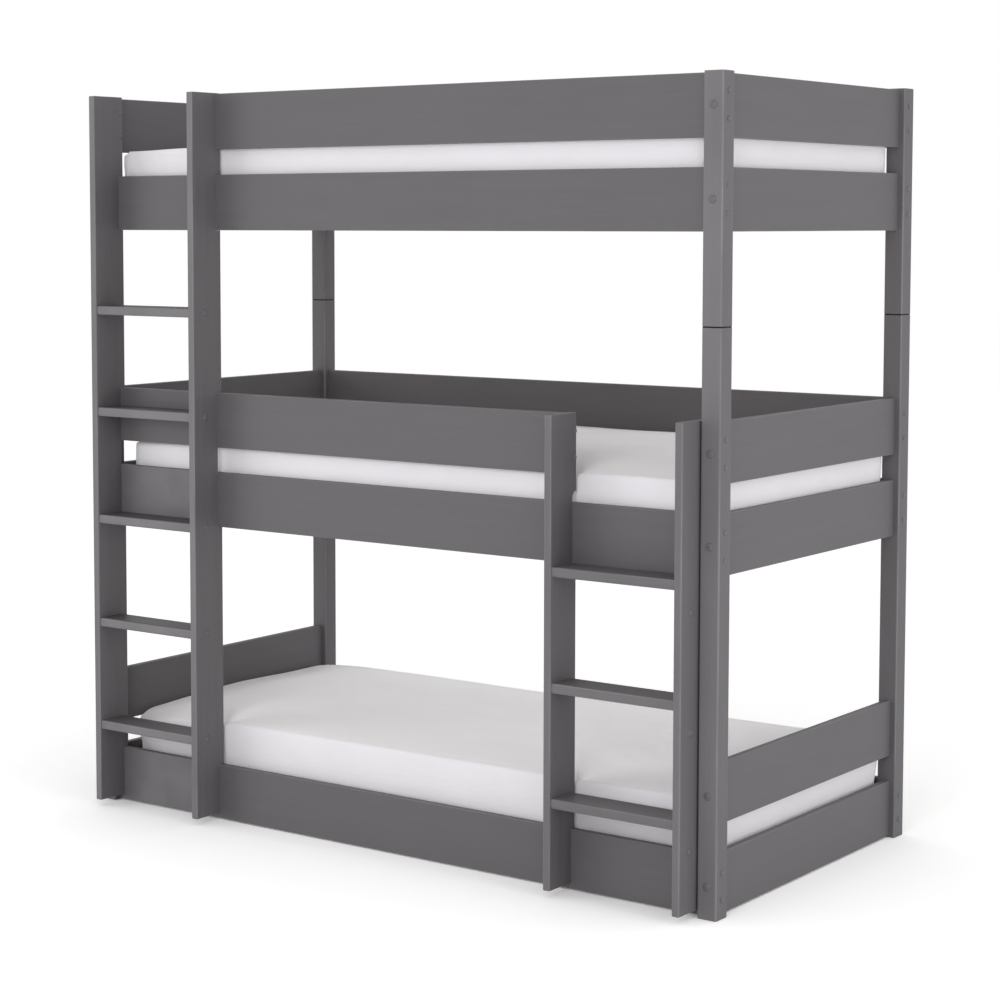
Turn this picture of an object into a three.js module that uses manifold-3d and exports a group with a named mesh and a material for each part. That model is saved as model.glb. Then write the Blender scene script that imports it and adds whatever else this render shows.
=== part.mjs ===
// A bunk bed with three tiers, in painted pine, with a long and a short ladder and three mattresses.
// Millimetres, +X along the bed, +Y towards its back, +Z up.
// The origin is on the floor, in the middle of the whole outline with the ladders included.

import * as THREE from "three";
import { mergeVertices } from "three/addons/utils/BufferGeometryUtils.js";
import Module from "manifold-3d";

const wasm = await Module();
wasm.setup();

// Frame: outside length and depth over the posts

const bedLength = 1980;
const bedDepth = 980;

// Posts: a lower and an upper length, joined on a dowel

const postWidth = 52;
const postRounding = 5;
const postChamfer = 1.2;
const postRise = 3.5;
const dowelRadius = 6;
const dowelLength = 80;

// Tiers, counted from 0 at the bottom, and their boards

const tierNames = ["bottom", "middle", "top"];
const guardedTiers = [1, 2];
const tierPitch = 793.5;
const railFloorGap = 4;
const boardHeight = 147;
const boardThickness = 18;
const boardRounding = 2.5;
const boardGap = 66.5;

// Bolts: capped ones hold the end boards, pairs of small-headed ones hold the long boards

const boltRadius = 3.5;
const boltRoot = 30;
const boltSpacing = 64;
const capRadius = 9;
const boltHeadRadius = 6.5;
const boltHeadHeight = 2.5;
const headTopShare = 0.75;

// Ladders

const stileThickness = 20.5;
const stileDepth = 110.4;
const stileFoot = 18.3;
const stileRise = 1.8;
const stileRounding = 4;
const stileTopRounding = 6;
const stileChamfer = 1.2;
const ladderInnerWidth = 337.6;
const shortLadderSetIn = 3;
const notchHeadroom = 28;
const notchRounding = 18;
const treadThickness = 24.6;
const treadSetback = 4.4;
const treadRounding = 5;
const housingDepth = 5;
const treadBoltSetback = 45;
const longLadderTreadCount = 5;
const longFirstTread = 241.5;
const longTreadPitch = 286;
const raisedTreadNumber = 4;
const treadRaise = 9;
const shortLadderTreadCount = 3;
const shortFirstTread = 242.6;
const shortTreadPitch = 278.4;
const spareCapDrop = 67.5;

// Slat bases and the ledgers that they lie on

const slatCount = 13;
const slatWidth = 70;
const slatThickness = 18;
const slatEndClearance = 3;
const slatPostGap = 4;
const slatTopAboveRail = 70;
const bottomSlatLift = 45;
const strapWidth = 30;
const strapThickness = 2;
const strapSpacing = 500;
const strapBite = 0.5;
const ledgerWidth = 20;
const ledgerHeight = 30;
const ledgerPostGap = 4;

// Mattresses

const mattressThickness = 164;
const mattressEndClearance = 6;
const mattressSideClearance = 6;
const mattressCorner = 60;
const mattressCrown = 16;
const mattressEdgeDrawIn = 9;
const mattressEdgeRounding = 16;

// Clearances and fineness

const fitGap = 0.3;
const cutOverrun = 1;
const weldDistance = 1e-4;
const arcSteps = 2;
const rodSides = 6;
const cornerSteps = 8;

// Sizes that follow

const postHalf = postWidth / 2;
const postX = bedLength / 2 - postHalf;
const postY = bedDepth / 2 - postHalf;
const innerLength = 2 * (postX - boardThickness / 2);
const innerDepth = 2 * (postY - boardThickness / 2);
const longBoardLength = 2 * (postX - postHalf - fitGap);
const endBoardLength = 2 * (postY - postHalf - fitGap);
const treadDepth = stileDepth - treadSetback - boardThickness - fitGap;
const headReach = fitGap + boltHeadHeight;

const railUnderside = (tier) => railFloorGap + tier * tierPitch;
const railTop = (tier) => railUnderside(tier) + boardHeight;
const guardUnderside = (tier) => railTop(tier) + boardGap;
const guardTop = (tier) => guardUnderside(tier) + boardHeight;
const boltPair = (middle) => [middle - boltSpacing / 2, middle + boltSpacing / 2];
const boardMiddle = (underside) => underside + boardHeight / 2;

const [bottomTier, middleTier, topTier] = tierNames.keys();
const postTop = guardTop(topTier) + postRise;
const postJoint = (guardTop(middleTier) + railUnderside(topTier)) / 2;

const painted = new THREE.MeshStandardMaterial({ color: 0x69686b, roughness: 0.5, metalness: 0 });
const paintedTread = new THREE.MeshStandardMaterial({ color: 0x727174, roughness: 0.5, metalness: 0 });
const bareWood = new THREE.MeshStandardMaterial({ color: 0xcbb089, roughness: 0.7, metalness: 0 });
const steel = new THREE.MeshStandardMaterial({ color: 0xa8a9ab, roughness: 0.35, metalness: 1 });
const fabric = new THREE.MeshStandardMaterial({ color: 0xe8e7e9, roughness: 0.9, metalness: 0 });

// Helpers for solids

const xAxis = new THREE.Vector3(1, 0, 0);
const yAxis = new THREE.Vector3(0, 1, 0);
const zAxis = new THREE.Vector3(0, 0, 1);
const outlineInYZ = new THREE.Matrix4().makeBasis(yAxis, zAxis, xAxis);
const outlineInZX = new THREE.Matrix4().makeBasis(zAxis, xAxis, yAxis);
const outlineInXY = new THREE.Matrix4();

function solid(geometry) {
  const bare = geometry.clone();
  bare.deleteAttribute("normal");
  bare.deleteAttribute("uv");
  const merged = mergeVertices(bare, weldDistance);
  const mesh = new wasm.Mesh({
    numProp: 3,
    vertProperties: new Float32Array(merged.attributes.position.array),
    triVerts: new Uint32Array(merged.index.array),
  });
  return new wasm.Manifold(mesh);
}

function geometryOf(body) {
  const { vertProperties, triVerts } = body.getMesh();
  const geometry = new THREE.BufferGeometry();
  geometry.setAttribute("position", new THREE.BufferAttribute(vertProperties, 3));
  geometry.setIndex(new THREE.BufferAttribute(triVerts, 1));
  geometry.computeVertexNormals();
  return geometry;
}

const joined = (body, additions) => additions.reduce((whole, addition) => whole.add(addition), body);
const cut = (body, cutters) => cutters.reduce((whole, cutter) => whole.subtract(cutter), body);

function roundedOutline(width, height, radius) {
  const shape = new THREE.Shape();
  const x = width / 2 - radius;
  const y = height / 2 - radius;
  const quarter = Math.PI / 2;
  shape.absarc(x, y, radius, 0, quarter);
  shape.absarc(-x, y, radius, quarter, 2 * quarter);
  shape.absarc(-x, -y, radius, 2 * quarter, 3 * quarter);
  shape.absarc(x, -y, radius, 3 * quarter, 4 * quarter);
  return shape;
}

// An outline drawn out to a bar of a given length, centred on its own middle, with chamfered ends
function bar(outline, length, plane, chamfer = 0) {
  const geometry = new THREE.ExtrudeGeometry(outline, {
    depth: length - 2 * chamfer,
    bevelEnabled: chamfer > 0,
    bevelThickness: chamfer,
    bevelSize: chamfer,
    bevelOffset: -chamfer,
    bevelSegments: 1,
    curveSegments: arcSteps,
  });
  geometry.translate(0, 0, chamfer - length / 2);
  return geometry.applyMatrix4(plane);
}

// A straight rod or cone from one point to another
function rod(startRadius, endRadius, start, end) {
  const way = end.clone().sub(start);
  const geometry = new THREE.CylinderGeometry(endRadius, startRadius, way.length(), rodSides);
  geometry.applyQuaternion(new THREE.Quaternion().setFromUnitVectors(yAxis, way.clone().normalize()));
  const middle = start.clone().addScaledVector(way, 1 / 2);
  return solid(geometry.translate(middle.x, middle.y, middle.z));
}

// The head of a bolt, or a cap, that stands on a face
function boltHead(radius, face, way) {
  const under = face.clone().addScaledVector(way, fitGap);
  const top = under.clone().addScaledVector(way, boltHeadHeight);
  return rod(radius, radius * headTopShare, under, top);
}

// A bolt that starts inside its board and ends in a head on a face
function bolt(radius, root, face) {
  const way = face.clone().sub(root).normalize();
  const end = face.clone().addScaledVector(way, fitGap + boltHeadHeight / 2);
  return rod(boltRadius, boltRadius, root, end).add(boltHead(radius, face, way));
}

const bore = (start, end) => rod(boltRadius + fitGap, boltRadius + fitGap, start, end);

const bed = new THREE.Group();

function place(name, geometry, material, x, y, z) {
  const mesh = new THREE.Mesh(geometry, material);
  mesh.name = name;
  mesh.position.set(x, y, z);
  bed.add(mesh);
}

const ends = [["left", -1], ["right", 1]];
const sides = [["front", -1], ["back", 1]];

// Posts, all drilled alike: one bore towards each end board, a pair towards each long board

const endBoltHeights = [bottomTier, middleTier, topTier].flatMap((tier) => [
  boardMiddle(railUnderside(tier)),
  boardMiddle(guardUnderside(tier)),
]);
const longBoltHeights = [
  ...[bottomTier, middleTier, topTier].map(railUnderside),
  ...guardedTiers.map(guardUnderside),
].flatMap((underside) => boltPair(boardMiddle(underside)));

function postLength(bottom, top, dowelEnd) {
  const reach = postHalf + cutOverrun;
  const through = (height, axis) => bore(
    zAxis.clone().multiplyScalar(height - bottom).addScaledVector(axis, -reach),
    zAxis.clone().multiplyScalar(height - bottom).addScaledVector(axis, reach),
  );
  const within = (height) => height > bottom && height < top;
  const section = roundedOutline(postWidth, postWidth, postRounding);
  const length = top - bottom;
  const blank = solid(bar(section, length, outlineInXY, postChamfer).translate(0, 0, length / 2));
  const hole = dowelLength / 2 + fitGap;
  const dowelHole = rod(
    dowelRadius + fitGap,
    dowelRadius + fitGap,
    new THREE.Vector3(0, 0, dowelEnd * length + hole),
    new THREE.Vector3(0, 0, dowelEnd * length - hole),
  );
  return geometryOf(cut(blank, [
    dowelHole,
    ...endBoltHeights.filter(within).map((height) => through(height, yAxis)),
    ...longBoltHeights.filter(within).map((height) => through(height, xAxis)),
  ]));
}

const lowerPost = postLength(0, postJoint - fitGap / 2, 1);
const upperPost = postLength(postJoint + fitGap / 2, postTop, 0);
const postDowel = geometryOf(rod(
  dowelRadius,
  dowelRadius,
  new THREE.Vector3(0, 0, dowelLength / 2),
  new THREE.Vector3(0, 0, -dowelLength / 2),
));

for (const [end, x] of ends) {
  for (const [side, y] of sides) {
    place(`post_${side}_${end}_lower`, lowerPost, painted, x * postX, y * postY, 0);
    place(`post_${side}_${end}_upper`, upperPost, painted, x * postX, y * postY, postJoint + fitGap / 2);
    place(`post_dowel_${side}_${end}`, postDowel, steel, x * postX, y * postY, postJoint);
  }
}

// Boards

const boardOutline = roundedOutline(boardThickness, boardHeight, boardRounding);
const endBoardOutline = roundedOutline(boardHeight, boardThickness, boardRounding);

// A board along the bed, with the pairs of bolts that go through what holds its ends
function longBoard(length, leftGrip, rightGrip) {
  const bolts = [[-1, leftGrip], [1, rightGrip]].flatMap(([way, grip]) =>
    boltPair(0).map((z) => bolt(
      boltHeadRadius,
      new THREE.Vector3(way * (length / 2 - boltRoot), 0, z),
      new THREE.Vector3(way * (length / 2 + fitGap + grip), 0, z),
    )));
  return geometryOf(joined(solid(bar(boardOutline, length, outlineInYZ)), bolts));
}

function endBoard() {
  const bolts = [-1, 1].map((way) => bolt(
    capRadius,
    new THREE.Vector3(0, way * (endBoardLength / 2 - boltRoot), 0),
    new THREE.Vector3(0, way * (endBoardLength / 2 + fitGap + postWidth), 0),
  ));
  return geometryOf(joined(solid(bar(endBoardOutline, endBoardLength, outlineInZX)), bolts));
}

const fullBoard = longBoard(longBoardLength, postWidth, postWidth);
const crossBoard = endBoard();

for (const [tier, tierName] of tierNames.entries()) {
  for (const [side, y] of sides) {
    place(`rail_${tierName}_${side}`, fullBoard, painted, 0, y * postY, boardMiddle(railUnderside(tier)));
  }
  for (const [end, x] of ends) {
    const across = x * postX;
    place(`end_rail_${tierName}_${end}`, crossBoard, painted, across, 0, boardMiddle(railUnderside(tier)));
    place(`end_guard_${tierName}_${end}`, crossBoard, painted, across, 0, boardMiddle(guardUnderside(tier)));
  }
}
for (const tier of guardedTiers) {
  place(`guard_${tierNames[tier]}_back`, fullBoard, painted, 0, postY, boardMiddle(guardUnderside(tier)));
}

// Ladders: their stiles are notched over the boards that pass behind them

const stileBackY = -innerDepth / 2;
const ladderPitch = ladderInnerWidth + stileThickness;
const longLeftX = -postX + postHalf + fitGap + stileThickness / 2;
const longRightX = longLeftX + ladderPitch;
const shortRightX = postX - postHalf - shortLadderSetIn - stileThickness / 2;
const shortLeftX = shortRightX - ladderPitch;
const notchDepth = boardThickness + fitGap;
const boardPlane = -boardThickness / 2;
const treadY = -stileDepth + treadSetback + treadDepth / 2;
const treadBoltY = -stileDepth + treadBoltSetback;

// The cutter of a notch from one height to another, whose upper inner corner may be rounded
function notch(low, high, rounding) {
  const shape = new THREE.Shape();
  shape.moveTo(cutOverrun, low - fitGap);
  shape.lineTo(cutOverrun, high + fitGap);
  shape.lineTo(rounding - notchDepth, high + fitGap);
  if (rounding > 0) {
    shape.absarc(rounding - notchDepth, high + fitGap - rounding, rounding, Math.PI / 2, Math.PI);
  }
  shape.lineTo(-notchDepth, low - fitGap);
  return solid(bar(shape, stileThickness + 2 * cutOverrun, outlineInYZ));
}

// The cutter that rounds a stile's upper front corner
function topCorner(top) {
  const front = -stileDepth;
  const shape = new THREE.Shape();
  shape.moveTo(front - cutOverrun, top + cutOverrun);
  shape.lineTo(front - cutOverrun, top - stileTopRounding);
  shape.absarc(front + stileTopRounding, top - stileTopRounding, stileTopRounding, Math.PI, Math.PI / 2, true);
  shape.lineTo(front + stileTopRounding, top + cutOverrun);
  return solid(bar(shape, stileThickness + 2 * cutOverrun, outlineInYZ));
}

// The housing of a tread's end, on the inner face of a stile
function housing(treadTop, inward) {
  const outline = roundedOutline(treadDepth + 2 * fitGap, treadThickness + 2 * fitGap, treadRounding + fitGap);
  const box = bar(outline, 2 * housingDepth, outlineInYZ);
  return solid(box.translate(inward * stileThickness / 2, treadY, treadTop - treadThickness / 2));
}

// A stile, whose length runs up from its foot, with its back face in the plane of the boards' inner faces
function stile(top, inward, treadTops, notches, additions, bores) {
  const length = top - stileFoot;
  const section = roundedOutline(stileThickness, stileDepth, stileRounding);
  const blank = bar(section, length, outlineInXY, stileChamfer);
  const body = solid(blank.translate(0, -stileDepth / 2, stileFoot + length / 2));
  const cutters = [topCorner(top), ...notches, ...treadTops.map((height) => housing(height, inward)), ...bores];
  return geometryOf(joined(cut(body, cutters), additions));
}

const acrossStile = (y, z) => bore(
  new THREE.Vector3(-stileThickness / 2 - cutOverrun, y, z),
  new THREE.Vector3(stileThickness / 2 + cutOverrun, y, z),
);
const treadBores = (treadTops) => treadTops.map((top) => acrossStile(treadBoltY, top - treadThickness / 2));
const guardBores = (tier) => boltPair(boardMiddle(guardUnderside(tier))).map((z) => acrossStile(boardPlane, z));

// Bolts that hold a stile to the post beside it, on the inward or the outward side
function postBolts(tier, outward, gap) {
  return boltPair(boardMiddle(guardUnderside(tier))).map((z) => bolt(
    boltHeadRadius,
    new THREE.Vector3(0, boardPlane, z),
    new THREE.Vector3(outward * (stileThickness / 2 + gap + postWidth), boardPlane, z),
  ));
}

function insideHeads(tier, inward) {
  const way = new THREE.Vector3(inward, 0, 0);
  return boltPair(boardMiddle(guardUnderside(tier))).map((z) => boltHead(
    boltHeadRadius,
    new THREE.Vector3(inward * (stileThickness / 2 - 2 * fitGap), boardPlane, z),
    way,
  ));
}

// Round caps under the treads, on the outer face of the short ladder's right stile
function spareCaps(treadTops) {
  return treadTops.map((top) => boltHead(
    boltHeadRadius,
    new THREE.Vector3(stileThickness / 2 - 2 * fitGap, treadBoltY, top - treadThickness / 2 - spareCapDrop),
    xAxis,
  ));
}

const treadTopsOf = (count, first, pitch) => Array.from({ length: count }, (_, step) => first + step * pitch);
const longTreadTops = treadTopsOf(longLadderTreadCount, longFirstTread, longTreadPitch)
  .map((top, step) => (step + 1 === raisedTreadNumber ? top + treadRaise : top));
const shortTreadTops = treadTopsOf(shortLadderTreadCount, shortFirstTread, shortTreadPitch);

const longStileTop = guardTop(topTier) + stileRise;
const shortStileTop = guardTop(middleTier) + stileRise;
const footNotch = notch(0, railTop(bottomTier), 0);
const longNotches = [
  footNotch,
  notch(railUnderside(middleTier), guardTop(middleTier), 0),
  notch(railUnderside(topTier), railTop(topTier), 0),
];
const shortNotches = [
  footNotch,
  notch(railUnderside(middleTier), railTop(middleTier) + notchHeadroom, notchRounding),
];

const stiles = [
  ["long_ladder_stile_left", longLeftX, stile(longStileTop, 1, longTreadTops, longNotches,
    [...postBolts(topTier, -1, fitGap), ...insideHeads(topTier, 1)], treadBores(longTreadTops))],
  ["long_ladder_stile_right", longRightX, stile(longStileTop, -1, longTreadTops, longNotches,
    [], [...treadBores(longTreadTops), ...guardBores(topTier)])],
  ["short_ladder_stile_left", shortLeftX, stile(shortStileTop, 1, shortTreadTops, shortNotches,
    [], guardBores(middleTier))],
  ["short_ladder_stile_right", shortRightX, stile(shortStileTop, -1, shortTreadTops, shortNotches,
    [...postBolts(middleTier, 1, shortLadderSetIn), ...spareCaps(shortTreadTops)], [])],
];
for (const [name, x, geometry] of stiles) {
  place(name, geometry, painted, x, stileBackY, 0);
}

const treadLength = ladderInnerWidth + 2 * (housingDepth - fitGap);
const treadOutline = roundedOutline(treadDepth, treadThickness, treadRounding);
const plainTread = bar(treadOutline, treadLength, outlineInYZ);
const boltedTread = geometryOf(joined(solid(plainTread), [-1, 1].map((way) => bolt(
  boltHeadRadius,
  new THREE.Vector3(way * (treadLength / 2 - boltRoot), treadBoltY - treadY, 0),
  new THREE.Vector3(way * (ladderInnerWidth / 2 + stileThickness), treadBoltY - treadY, 0),
))));

function ladderTreads(ladder, geometry, treadTops, leftX) {
  treadTops.forEach((top, step) => {
    const z = top - treadThickness / 2;
    place(`${ladder}_tread_${step + 1}`, geometry, paintedTread, leftX + ladderPitch / 2, stileBackY + treadY, z);
  });
}

ladderTreads("long_ladder", boltedTread, longTreadTops, longLeftX);
ladderTreads("short_ladder", plainTread, shortTreadTops, shortLeftX);

// Front guards: the top one ends at the long ladder, the middle one at the short ladder

const postFaceX = postX - postHalf - fitGap;
const topGuardLeft = longRightX + stileThickness / 2 + fitGap;
const middleGuardRight = shortLeftX - stileThickness / 2 - fitGap;
const topGuard = longBoard(postFaceX - topGuardLeft, stileThickness, postWidth);
const middleGuard = longBoard(middleGuardRight + postFaceX, postWidth, stileThickness);
place("guard_top_front", topGuard, painted,
  (postFaceX + topGuardLeft) / 2, -postY, boardMiddle(guardUnderside(topTier)));
place("guard_middle_front", middleGuard, painted,
  (middleGuardRight - postFaceX) / 2, -postY, boardMiddle(guardUnderside(middleTier)));

// Slat bases, each of slats held apart by two webbing straps, on ledgers along the rails

const slatLength = innerDepth - 2 * slatEndClearance;
const slatSpan = 2 * (postX - postHalf - slatPostGap) - slatWidth;
const ledgerLength = 2 * (postX - postHalf - ledgerPostGap);
const ledger = new THREE.BoxGeometry(ledgerLength, ledgerWidth, ledgerHeight);
const slatTop = (tier) => railUnderside(tier) + slatTopAboveRail + (tier === bottomTier ? bottomSlatLift : 0);

function slatBase() {
  const slats = Array.from({ length: slatCount }, (_, index) => {
    const x = slatSpan * (index / (slatCount - 1) - 1 / 2);
    return solid(new THREE.BoxGeometry(slatWidth, slatLength, slatThickness).translate(x, 0, 0));
  });
  const straps = [-1, 1].map((side) => {
    const strap = new THREE.BoxGeometry(slatSpan + slatWidth / 2, strapWidth, strapThickness + strapBite);
    const y = side * strapSpacing / 2;
    return solid(strap.translate(0, y, -slatThickness / 2 + strapBite - (strapThickness + strapBite) / 2));
  });
  return geometryOf(joined(straps[0].add(straps[1]), slats));
}

const slats = slatBase();

for (const [tier, tierName] of tierNames.entries()) {
  const slatMiddle = slatTop(tier) - slatThickness / 2;
  const ledgerMiddle = slatTop(tier) - slatThickness - fitGap - ledgerHeight / 2;
  const ledgerY = innerDepth / 2 - fitGap - ledgerWidth / 2;
  place(`slat_base_${tierName}`, slats, bareWood, 0, 0, slatMiddle);
  for (const [side, y] of sides) {
    place(`ledger_${tierName}_${side}`, ledger, bareWood, 0, y * ledgerY, ledgerMiddle);
  }
}

// Mattresses: a rounded plan, a crowned top and edges drawn in at their seams

const mattressLength = innerLength - 2 * mattressEndClearance;
const mattressWidth = innerDepth - 2 * mattressSideClearance;

// One ring of the mattress's skin, set in from its widest outline
function mattressRing(inset, z) {
  const radius = mattressCorner + inset;
  const x = mattressLength / 2 - inset - radius;
  const y = mattressWidth / 2 - inset - radius;
  const corners = [[1, 1], [-1, 1], [-1, -1], [1, -1]];
  return corners.flatMap(([alongX, alongY], corner) =>
    Array.from({ length: cornerSteps }, (_, step) => {
      const angle = (corner + step / (cornerSteps - 1)) * Math.PI / 2;
      return [alongX * x + radius * Math.cos(angle), alongY * y + radius * Math.sin(angle), z];
    }));
}

// The crown: an inner ring, a share of the way in from the upper seam
function crownRing(share, seamRing) {
  const z = mattressThickness - mattressCrown * (1 - share) * (1 - share);
  return seamRing.map(([x, y]) => [x * (1 - share), y * (1 - share), z]);
}

function mattressGeometry() {
  const seamTop = mattressThickness - mattressCrown;
  const sideShares = [0, 1 / 3, 2 / 3, 1];
  const crownShares = [0.15, 0.4, 0.7];
  const roundAt = (share) => mattressEdgeRounding * (1 - Math.cos(share * Math.PI / 2));
  const riseAt = (share) => mattressEdgeRounding * Math.sin(share * Math.PI / 2);
  const drawnIn = (share) => roundAt(share) * mattressEdgeDrawIn / mattressEdgeRounding;
  const lower = [...sideShares].reverse()
    .map((share) => mattressRing(drawnIn(share), mattressEdgeRounding - riseAt(share)));
  const upper = sideShares
    .map((share) => mattressRing(drawnIn(share), seamTop - mattressEdgeRounding + riseAt(share)));
  const rings = [...lower, ...upper];
  rings.push(...crownShares.map((share) => crownRing(share, upper.at(-1))));
  const count = rings[0].length;
  const last = rings.length - 1;
  const points = [...rings.flat(), [0, 0, 0], [0, 0, mattressThickness]];
  const floorCentre = points.length - 2;
  const topCentre = points.length - 1;
  const faces = [];
  for (let step = 0; step < count; step++) {
    const next = (step + 1) % count;
    faces.push(floorCentre, next, step);
    faces.push(topCentre, last * count + step, last * count + next);
    for (let ring = 0; ring < last; ring++) {
      const low = ring * count;
      const high = low + count;
      faces.push(low + step, low + next, high + next);
      faces.push(low + step, high + next, high + step);
    }
  }
  const geometry = new THREE.BufferGeometry();
  geometry.setAttribute("position", new THREE.Float32BufferAttribute(points.flat(), 3));
  geometry.setIndex(faces);
  geometry.computeVertexNormals();
  return geometry;
}

const mattress = mattressGeometry();

for (const [tier, tierName] of tierNames.entries()) {
  place(`mattress_${tierName}`, mattress, fabric, 0, 0, slatTop(tier) + fitGap);
}

// The ladders stand out at the front, the bolt heads at the back

const frontReach = innerDepth / 2 + stileDepth;
const backReach = bedDepth / 2 + headReach;
bed.position.y = (frontReach - backReach) / 2;

const group = new THREE.Group();
group.add(bed);

export default group;
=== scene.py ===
import math

import bmesh
import bpy
from mathutils import Euler, Matrix, Vector, noise


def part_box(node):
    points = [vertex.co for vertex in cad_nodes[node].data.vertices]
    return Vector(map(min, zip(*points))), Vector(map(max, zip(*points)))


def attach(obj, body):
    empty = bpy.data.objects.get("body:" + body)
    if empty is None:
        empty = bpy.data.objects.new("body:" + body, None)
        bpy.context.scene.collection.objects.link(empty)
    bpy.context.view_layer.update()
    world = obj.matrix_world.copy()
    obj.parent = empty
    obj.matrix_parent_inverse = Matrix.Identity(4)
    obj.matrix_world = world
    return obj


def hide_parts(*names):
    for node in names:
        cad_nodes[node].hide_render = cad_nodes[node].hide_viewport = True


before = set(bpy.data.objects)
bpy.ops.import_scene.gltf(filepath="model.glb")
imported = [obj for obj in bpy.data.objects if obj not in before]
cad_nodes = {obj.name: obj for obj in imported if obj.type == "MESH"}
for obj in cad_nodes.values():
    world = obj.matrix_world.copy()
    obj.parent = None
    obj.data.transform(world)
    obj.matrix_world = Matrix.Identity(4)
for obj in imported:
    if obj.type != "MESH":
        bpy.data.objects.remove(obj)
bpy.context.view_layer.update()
scene = bpy.context.scene

# The photographer's camera
# It stands at eye height in front of the short ladder's end and looks along the bed.
# A long lens from about six metres keeps the posts nearly upright in the picture.

EYE_PLACE = (3.665, -5.1114, 1.6127)
TURNED_DOWN = 4.32
TURNED_LEFT = 36.76

camera_data = bpy.data.cameras.new("eye_height_camera")
camera_data.sensor_width = 36
camera_data.lens = 84.78
camera_data.shift_x = 0.063
camera_data.shift_y = -0.1
camera = bpy.data.objects.new("eye_height_camera", camera_data)
camera.location = EYE_PLACE
camera.rotation_euler = Euler((math.radians(90 - TURNED_DOWN), 0, math.radians(TURNED_LEFT)))
scene.collection.objects.link(camera)
scene.camera = camera

# Posts
# Four square pine posts, each a lower and an upper length that meet on a steel dowel.
# They are planed with eased edges, drilled for the bolts and sprayed in satin grey.

POST_GREY_LIGHT = (0.139, 0.131, 0.139, 1)
POST_GREY_DARK = (0.120, 0.113, 0.120, 1)
BOARD_GREY_LIGHT = (0.127, 0.119, 0.127, 1)
BOARD_GREY_DARK = (0.116, 0.109, 0.116, 1)
# A paler grey for worn paint, also used as a painted highlight on arrises and front faces.
WORN_AND_HIGHLIT_GREY = (0.255, 0.247, 0.255, 1)
# A dark grey for knots and foot dirt, also used as painted shade on the tops of the treads.
KNOT_DIRT_AND_SHADE_GREY = (0.062, 0.060, 0.063, 1)
# Near black for dirt and painted shade in the groove where post lengths meet.
JOINT_DIRT_AND_SHADE_BLACK = (0.010, 0.009, 0.010, 1)
DULL_SPRAY = {"Specular IOR Level": 0.25}
UPRIGHT_GRAIN_RISE = 0.0006
EASED_EDGE = 0.003
JOINT_LINE_HALF, JOINT_LINE_FADE = 0.0012, 0.0024
FIBRE_STRETCH, FIBRE_SCALE = 0.022, 420.0
RING_STRETCH, RING_SCALE = 0.06, 46.0
CLOUD_SCALE = 5.0
ORANGE_PEEL_SCALE = 900.0
KNOT_STRETCH, KNOT_SCALE = 0.5, 3.4
KNOT_HEART, KNOT_RIM = 0.012, 0.045
ALONG_BED, ACROSS_BED, UPRIGHT = range(3)
EVEN = (1, 1, 1)


class Finish:
    """A socket of a material, where sums add Math nodes."""

    def __init__(self, tree, socket=None):
        self.tree = tree
        self.socket = socket

    def add(self, kind, settings, inputs, output):
        """A new node with its settings and its inputs, and the output that goes on."""
        node = self.tree.nodes.new(kind)
        for name, value in settings.items():
            setattr(node, name, value)
        for name, value in inputs.items():
            self.join(node, name, value)
        found = [socket for socket in node.outputs if socket.enabled and socket.name == output]
        return Finish(self.tree, found[0])

    def join(self, node, name, value):
        """Links a finish to an input, or sets the input's own value."""
        if isinstance(name, int):
            socket = node.inputs[name]
        else:
            socket = next(s for s in node.inputs if s.enabled and s.name == name)
        if isinstance(value, Finish):
            self.tree.links.new(value.socket, socket)
        else:
            socket.default_value = value

    def sum(self, operation, first, second):
        return self.add("ShaderNodeMath", {"operation": operation}, {0: first, 1: second}, "Value")

    def __add__(self, other):
        return self.sum("ADD", self, other)

    def __radd__(self, other):
        return self.sum("ADD", other, self)

    def __sub__(self, other):
        return self.sum("SUBTRACT", self, other)

    def __rsub__(self, other):
        return self.sum("SUBTRACT", other, self)

    def __mul__(self, other):
        return self.sum("MULTIPLY", self, other)

    def __rmul__(self, other):
        return self.sum("MULTIPLY", other, self)

    def __abs__(self):
        return self.sum("ABSOLUTE", self, 0.0)

    def along(self, axis):
        """One part of a place or a direction."""
        return self.add("ShaderNodeSeparateXYZ", {}, {"Vector": self}, axis)

    def stretched(self, stretch):
        """A place drawn out along some of its axes."""
        return self.add("ShaderNodeMapping", {}, {"Vector": self, "Scale": stretch}, "Vector")

    def limited(self, low, high):
        """The value spread from low..high to 0..1 and held there."""
        return self.add(
            "ShaderNodeMapRange",
            {"clamp": True},
            {"Value": self, "From Min": low, "From Max": high},
            "Result",
        )


def tinted(mask, first, second):
    """The first colour where the mask is 0, the second where it is 1."""
    mix = {"data_type": "RGBA", "clamp_factor": True}
    return mask.add("ShaderNodeMix", mix, {"Factor": mask, "A": first, "B": second}, "Result")


def speckle(place, stretch, scale, detail):
    """Noise in the object's own space, drawn out along some of its axes."""
    noise_inputs = {"Vector": place.stretched(stretch), "Scale": scale, "Detail": detail}
    return place.add("ShaderNodeTexNoise", {}, noise_inputs, "Fac")


def cells(place, scale, randomness):
    """How far each point is from the nearest of many scattered spots."""
    cell_inputs = {"Vector": place, "Scale": scale, "Randomness": randomness}
    return place.add("ShaderNodeTexVoronoi", {}, cell_inputs, "Distance")


def new_finish(name):
    """An empty material, and the place of each point on the piece."""
    material = bpy.data.materials.new(name)
    material.use_nodes = True
    tree = material.node_tree
    tree.nodes.clear()
    return material, Finish(tree).add("ShaderNodeTexCoord", {}, {}, "Object")


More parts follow.
